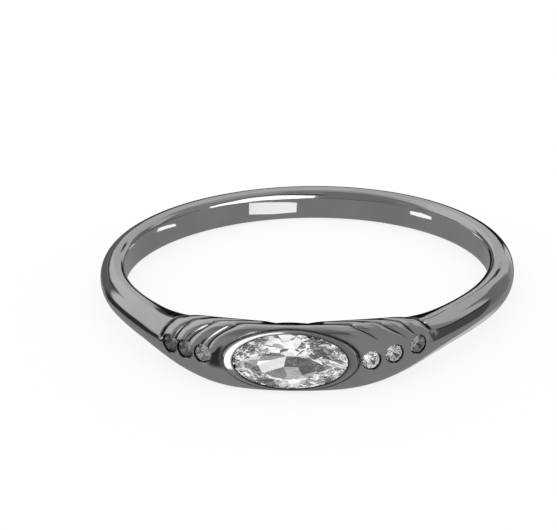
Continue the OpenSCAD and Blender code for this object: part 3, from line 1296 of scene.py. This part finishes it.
@dataclass(frozen=True)
class Panel:
    """A soft-edged panel of the studio, by the directions that it covers, in degrees.

    Azimuth 0 is the side that the oval stone faces, and grows to the ring's right. The grey is the
    level that the panel shows in the polished metal. The panel leans by degrees of azimuth for each
    degree of elevation.
    """

    name: str
    azimuth: float
    elevation: float
    half_width: float
    half_height: float
    grey: float
    soft: float
    lean: float = 0.0


@dataclass(frozen=True)
class Card:
    """A card that only the metal reflects. Its corners and its place are in millimetres.

    The corners of a card that faces up are places along X and Y on the floor, and those of an
    upright card are places along the card and up. An upright card's place is its Y or X. The grey
    is the level that the card's lit side shows in the polished metal.
    """

    name: str
    grey: float
    corners: tuple[tuple[float, float], ...]
    facing: Facing = Facing.UP
    place: float = 0.0

    def points(self, rise: Callable[[np.ndarray], np.ndarray]) -> np.ndarray:
        """Finds the card's corners in space.

        Args:
            rise: Gives the height under a card that lies flat, in millimetres, at places along Y.

        Returns:
            The corners, in an order that turns the card's front the way that it faces.
        """
        across, other = np.array(self.corners).T
        level = np.full(len(across), self.place)
        if self.facing is Facing.UP:
            points = np.column_stack([across, other, rise(other)])
        elif self.facing in (Facing.FRONT, Facing.BACK):
            points = np.column_stack([across, level, other])
        else:
            points = np.column_stack([level, across, other])
        turned = np.cross(points, np.roll(points, -1, axis=0)).sum(axis=0)
        return points if turned @ self.facing.value > 0 else points[::-1]


@dataclass
class Studio:
    """The plain floor and the soft light round the ring.

    Greys are levels from 0 to 255, as they show in the polished metal, which reflects only a share
    of the light. The floor's half width is in metres, and the sizes of the round reflector and the
    cards are in millimetres.
    """

    metal_share: float = 0.6
    floor_albedo: float = 0.16
    floor_glow: float = 0.84
    floor_light: float = 1.0
    floor_half: float = 3.0
    settling_rounds: int = 8
    round_sides: int = 96
    base_grey: float = 117.0
    reflector_r: float = 9.2
    reflector_grey: float = 115.0
    reflector_lift: float = 0.02
    # The cards: name, grey, corners, the way each faces and its place.
    cards: tuple[Card, ...] = (
        Card("white field", 236, (
            (-3.23, -0.39), (-1.95, -0.79), (-0.95, -0.87), (-0.93, -0.16), (-1.95, 0.03), (-3.22, 0.26),
        ), Facing.BACK, 7.6),
        Card("dark field", 12, (
            (-5.0, -3.5), (5.0, -3.5), (5.0, 2.0), (3.5, 3.3), (-3.5, 3.3), (-5.0, 2.0),
        )),
        Card("dark wall", 12, (
            (-6.5, -1.0), (7.6, -1.0), (7.6, 2.6), (4.5, 3.6), (3.2, 7.6), (-3.2, 7.6), (-4.5, 4.0),
            (-6.5, 3.0),
        ), Facing.FRONT, 2.8),
        Card("left glint", 255, (
            (4.7, 0.0), (5.27, -0.04), (5.3, -0.18), (4.72, -0.33),
        ), Facing.LEFT, -6.0),
        Card("right glint", 255, (
            (6.95, 0.04), (6.5, -0.06), (6.21, -0.3), (6.23, -0.5), (6.6, -0.33), (6.94, -0.14),
        ), Facing.RIGHT, 4.0),
        Card("left inner screen", 20, (
            (-4.6, -1.0), (2.0, -1.0), (2.0, 2.6), (-4.6, 1.2),
        ), Facing.RIGHT, -6.6),
        Card("grey screen", 105, (
            (-2.4, -0.9), (-0.34, -0.9), (-0.34, 0.5), (-0.6, 7.0), (-2.4, 7.0),
        ), Facing.BACK, 3.0),
        Card("white strip", 270, (
            (-0.32, -0.9), (3.5, -0.6), *reversed(STRIP_EDGE),
        ), Facing.BACK, 3.0),
        Card("dark strip", 15, (
            *STRIP_EDGE, (3.5, 2.4), (1.6, 3.2), (0.9, 4.6), (0.0, 3.8), (-0.5, 1.4),
        ), Facing.BACK, 3.0),
    )
    sparkle_scale: float = 3.0
    sparkle_dark: float = 0.08
    sparkle_bright: float = 1.15
    sparkle_contrast: float = 1.3
    sparkle_cool: Colour = (0.94, 1.0, 0.97, 1.0)
    sparkle_warm: Colour = (1.0, 0.96, 1.03, 1.0)
    shade: Panel = Panel("shade behind the lens", 5, 22, 22, 14, 70, soft=5)
    # The panels, from the rearmost: name, azimuth, elevation, half width, half height and grey.
    panels: list[Panel] = field(default_factory=lambda: [
        Panel("ceiling", -170, 70, 180, 14, 142, soft=6),
        Panel("pale wall", -140, 24, 62, 36, 172, soft=8),
        Panel("right rear wall", 148, 24, 42, 20, 158, soft=4),
        Panel("grey front", -15, 45, 50, 30, 102, soft=12),
        Panel("right corner", 133, 6, 14, 23, 100, soft=3),
        Panel("left door frame", -134, 1, 7, 20, 85, soft=3),
        Panel("left lintel", -152, 15, 22, 3, 62, soft=1.5),
        Panel("left skirting", -118, -17.5, 27, 6, 40, soft=1.5),
        Panel("right doorway", 107, -10, 13, 14, 66, soft=1.5),
        Panel("right lintel", 106, 2, 12, 2, 32, soft=1),
        Panel("rear left skirting", -157, -3, 19, 15, 80, soft=3),
        Panel("rear skirting", 179, -4, 13, 17, 15, soft=2),
        Panel("ceiling beam", 25, 33, 15, 9, 80, soft=3),
        Panel("right beam", 173, 25, 6, 1.6, 40, soft=1),
        Panel("left counter", -50, -22, 6, 8, 42, soft=3),
        Panel("low rear light", 150, -40, 16, 8, 180, soft=5),
        Panel("shaded front", 12, -5, 8, 28, 106, soft=5),
        Panel("softbox", -20, 3, 8, 36, 275, soft=1.5, lean=-0.13),
    ])

    @cached_property
    def panel_mask(self) -> bpy.types.NodeTree:
        """Makes the group that masks one panel.

        Returns:
            The group. Its mask is 1 on the panel and 0 off it.
        """
        names = ["Azimuth", "Elevation", "Centre Azimuth", "Centre Elevation"]
        names += ["Half Width", "Half Height", "Soft", "Lean"]
        graph, given, result = new_group("panel_mask", dict.fromkeys(names, 0.0), ["Mask"])
        up = graph.math("SUBTRACT", given["Elevation"], given["Centre Elevation"])
        along = graph.math("SUBTRACT", given["Azimuth"], given["Centre Azimuth"])
        along = graph.math("WRAP", along, 180.0, -180.0)
        along = graph.math("MULTIPLY_ADD", up, given["Lean"], along)
        masks = []
        for distance, half in ((along, given["Half Width"]), (up, given["Half Height"])):
            size = graph.math("ABSOLUTE", distance)
            start = graph.math("SUBTRACT", half, given["Soft"])
            end = graph.math("ADD", half, given["Soft"])
            masks.append(graph.spread(size, start, end, to_low=1.0, to_high=0.0))
        graph.plug(result["Mask"], graph.math("MULTIPLY", *masks))
        return graph.tree

    def directions(self, graph: Graph) -> Sockets:
        """Works out the azimuth and the elevation of each direction of the world.

        Args:
            graph: The world's graph.

        Returns:
            The two angles, in degrees, by name.
        """
        place = graph.add("TexCoord").outputs["Generated"]
        x, y, z = graph.add("SeparateXYZ", {"Vector": place}).outputs
        azimuth = graph.math("ARCTAN2", x, graph.math("MULTIPLY", y, -1.0))
        elevation = graph.math("ARCSINE", z)
        return {"azimuth": graph.math("DEGREES", azimuth), "elevation": graph.math("DEGREES", elevation)}

    def covered(self, graph: Graph, angles: Sockets, panel: Panel) -> bpy.types.NodeSocket:
        """Finds how far a panel covers each direction of the world.

        Args:
            graph: The world's graph.
            angles: The azimuth and the elevation.
            panel: The panel.

        Returns:
            The cover, from 0 to 1.
        """
        shape = graph.group(self.panel_mask, **angles,
                            centre_azimuth=panel.azimuth, centre_elevation=panel.elevation,
                            half_width=panel.half_width, half_height=panel.half_height,
                            soft=panel.soft, lean=panel.lean)
        shape.label = panel.name
        return shape.outputs["Mask"]

    def radiance(self, grey: float) -> Colour:
        """Returns the colour of the light that shows as a grey in the metal."""
        light = linear_grey(grey) / self.metal_share
        return light, light, light, 1.0

    def light(self) -> None:
        """Makes the world: panels for the metal and the stones, plain light for the floor."""
        world = bpy.data.worlds.new("studio")
        world.use_nodes = True
        world.cycles.sampling_method = "NONE"
        bpy.context.scene.world = world
        graph = Graph(world.node_tree)
        angles = self.directions(graph)
        colour: object = self.radiance(self.base_grey)
        for panel in self.panels:
            colour = graph.mixed(self.covered(graph, angles, panel), colour, self.radiance(panel.grey))
        path = graph.add("LightPath").outputs
        plain = (self.floor_light, self.floor_light, self.floor_light, 1.0)
        colour = graph.mixed(path["Is Transmission Ray"], colour, self.sparkle(graph, angles))
        colour = graph.mixed(path["Is Diffuse Ray"], colour, plain)
        colour = graph.mixed(path["Is Camera Ray"], colour, WHITE)
        background = world.node_tree.nodes["Background"]
        graph.plug(background.inputs["Color"], colour)

    def sparkle(self, graph: Graph, angles: Sockets) -> bpy.types.NodeSocket:
        """Makes the light that the stones' facets pick up.

        Args:
            graph: The world's graph.
            angles: The azimuth and the elevation.

        Returns:
            The light: a room of soft bright and dark fields, with a shade behind the lens.
        """
        place = graph.add("TexCoord").outputs["Generated"]
        fields = graph.add("TexVoronoi", {"Vector": place, "Scale": self.sparkle_scale})
        level, warmth, _ = graph.add("SeparateXYZ", {"Vector": fields.outputs["Color"]}).outputs
        share = graph.math("POWER", level, self.sparkle_contrast)
        light = graph.spread(share, 0.0, 1.0, self.sparkle_dark, self.sparkle_bright)
        tint = graph.mixed(warmth, self.sparkle_cool, self.sparkle_warm)
        scaled = graph.add("VectorMath", {0: tint, "Scale": light}, operation="SCALE").outputs[0]
        shaded = self.covered(graph, angles, self.shade)
        return graph.mixed(shaded, scaled, self.radiance(self.shade.grey))

    def card_material(self, card: Card, name: str) -> bpy.types.Material:
        """Makes the plain light of a card.

        Args:
            card: The card.
            name: The material's name.

        Returns:
            The material: the card's own grey on its lit side, and the room's grey behind.
        """
        made, graph, shader = new_glow(name, BLACK)
        back = graph.add("NewGeometry").outputs["Backfacing"]
        light = graph.mixed(back, self.radiance(card.grey), self.radiance(self.base_grey))
        graph.plug(shader.inputs["Emission Color"], light)
        shader.inputs["Emission Strength"].default_value = 1.0
        return made

    def set_cards(self, resting: Callable[[np.ndarray], np.ndarray]) -> None:
        """Sets a round grey reflector and the smaller cards inside the ring.

        Args:
            resting: Gives the height of the floor, in metres, at places along Y.
        """
        turn = round_angles(self.round_sides)
        disc = np.column_stack([np.cos(turn), np.sin(turn)]) * self.reflector_r
        base = Card("reflector", self.reflector_grey, tuple(map(tuple, disc)))
        for number, card in enumerate([base, *self.cards]):
            lift = self.reflector_lift * (number + 1)
            points = card.points(lambda along: resting(along * MM) / MM + lift) * MM
            name = card.name.replace(" ", "_")
            piece = new_object(name, points, [tuple(range(len(points)))])
            give_material(piece, self.card_material(card, name))
            hide_from(piece, Ray.CAMERA, Ray.DIFFUSE, Ray.TRANSMISSION, Ray.SHADOW)

    def resting_slope(self, points: np.ndarray) -> tuple[np.ndarray, float]:
        """Finds the plane that the ring rests on: one point at the front and one at the back.

        Args:
            points: The band's vertices.

        Returns:
            The point at the front, and the plane's rise along Y.
        """
        front = points[points[:, 1] < 0]
        back = points[points[:, 1] > 0]
        foot = front[np.argmin(front[:, 2])]
        slope = 0.0
        for _ in range(self.settling_rounds):
            heel = back[np.argmin(back[:, 2] - slope * back[:, 1])]
            slope = (heel[2] - foot[2]) / (heel[1] - foot[1])
            foot = front[np.argmin(front[:, 2] - slope * front[:, 1])]
        return foot, slope

    def floor(self, band: bpy.types.Object) -> None:
        """Lays a plain pale floor in the plane that the ring rests on, and the cards on it.

        Args:
            band: The finished band.
        """
        foot, slope = self.resting_slope(mesh_points(band))

        def resting(along: np.ndarray) -> np.ndarray:
            """Returns the floor's height at places along Y."""
            return foot[2] + slope * (along - foot[1])

        half = self.floor_half
        corners = np.array([(-half, -half), (half, -half), (half, half), (-half, half)])
        floor = new_object("floor", np.column_stack([corners, resting(corners[:, 1])]), [(0, 1, 2, 3)])
        made, _, shader = new_glow("pale_floor", (self.floor_albedo,) * 3 + (1.0,))
        shader.inputs["Roughness"].default_value = 1.0
        shader.inputs["Emission Color"].default_value = WHITE
        shader.inputs["Emission Strength"].default_value = self.floor_glow
        give_material(floor, made)
        hide_from(floor, Ray.GLOSSY, Ray.TRANSMISSION)
        self.set_cards(resting)
        LOG.info("floor: slope %.2f degrees", math.degrees(math.atan(slope)))


@dataclass(frozen=True)
class PhotoCamera:
    """The camera at the photo's place. Lengths are in millimetres and angles in degrees.

    It looks along a line that passes the ring's centre at the two shifts. The focal length is in
    pixels of the photo.
    """

    elevation: float = 22.014
    distance: float = 135.848
    yaw: float = -4.94
    roll: float = 1.197
    shift_right: float = -1.338
    shift_up: float = 0.254
    focal_pixels: float = 2879.558
    sensor_width: float = 36.0

    def place(self) -> bpy.types.Object:
        """Makes the camera and gives it to the scene.

        Returns:
            The camera.
        """
        tilt, roll = math.radians(self.elevation), math.radians(self.roll)
        right = Vector((1, 0, 0))
        up = Vector((0, math.sin(tilt), math.cos(tilt)))
        back = Vector((0, -math.cos(tilt), math.sin(tilt)))
        spot = (self.distance * back + self.shift_right * right + self.shift_up * up) * MM
        axis_x = math.cos(roll) * right - math.sin(roll) * up
        axis_y = math.sin(roll) * right + math.cos(roll) * up
        matrix = Matrix((axis_x, axis_y, back)).transposed().to_4x4()
        matrix.translation = spot
        lens = bpy.data.cameras.new("photo_camera")
        lens.sensor_width = self.sensor_width
        lens.lens = self.focal_pixels / IMAGE_WIDTH * self.sensor_width
        lens.clip_start = MM
        camera = bpy.data.objects.new("photo_camera", lens)
        camera.matrix_world = Matrix.Rotation(-math.radians(self.yaw), 4, "Z") @ matrix
        bpy.context.scene.collection.objects.link(camera)
        bpy.context.scene.camera = camera
        return camera


def install(piece: bpy.types.Object, node: str) -> None:
    """Puts a finished piece in the place of a node of the model, and reports it.

    Args:
        piece: The finished piece.
        node: The node that it stands for.
    """
    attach(piece, BODY)
    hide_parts(node)
    LOG.info("%s: %d vertices", piece.name, len(piece.data.vertices))


def set_film() -> None:
    """Shows the studio's light as it is, with enough bounces for the stones' facets."""
    scene = bpy.context.scene
    scene.view_settings.view_transform = "Standard"
    scene.cycles.max_bounces = 24
    scene.cycles.transmission_bounces = 20
    scene.cycles.glossy_bounces = 8


def main() -> None:
    """Builds the ring's pieces in order, then the studio, and reports each one."""
    logging.basicConfig(level=logging.INFO, format="%(message)s")
    PhotoCamera().place()
    polish = polish_group()
    ring = Band()
    band = ring.build()
    ring.dress(band, polish)
    install(band, "band")
    cut = OvalStone(ring.stone_length, ring.stone_width, ring.front_r - ring.girdle_depth)
    stone = cut.build()
    cut.dress(stone, polish)
    install(stone, "oval_stone")
    AccentStones().dress(polish)
    studio = Studio()
    studio.light()
    studio.floor(band)
    set_film()


if __name__ == "__main__":
    main()
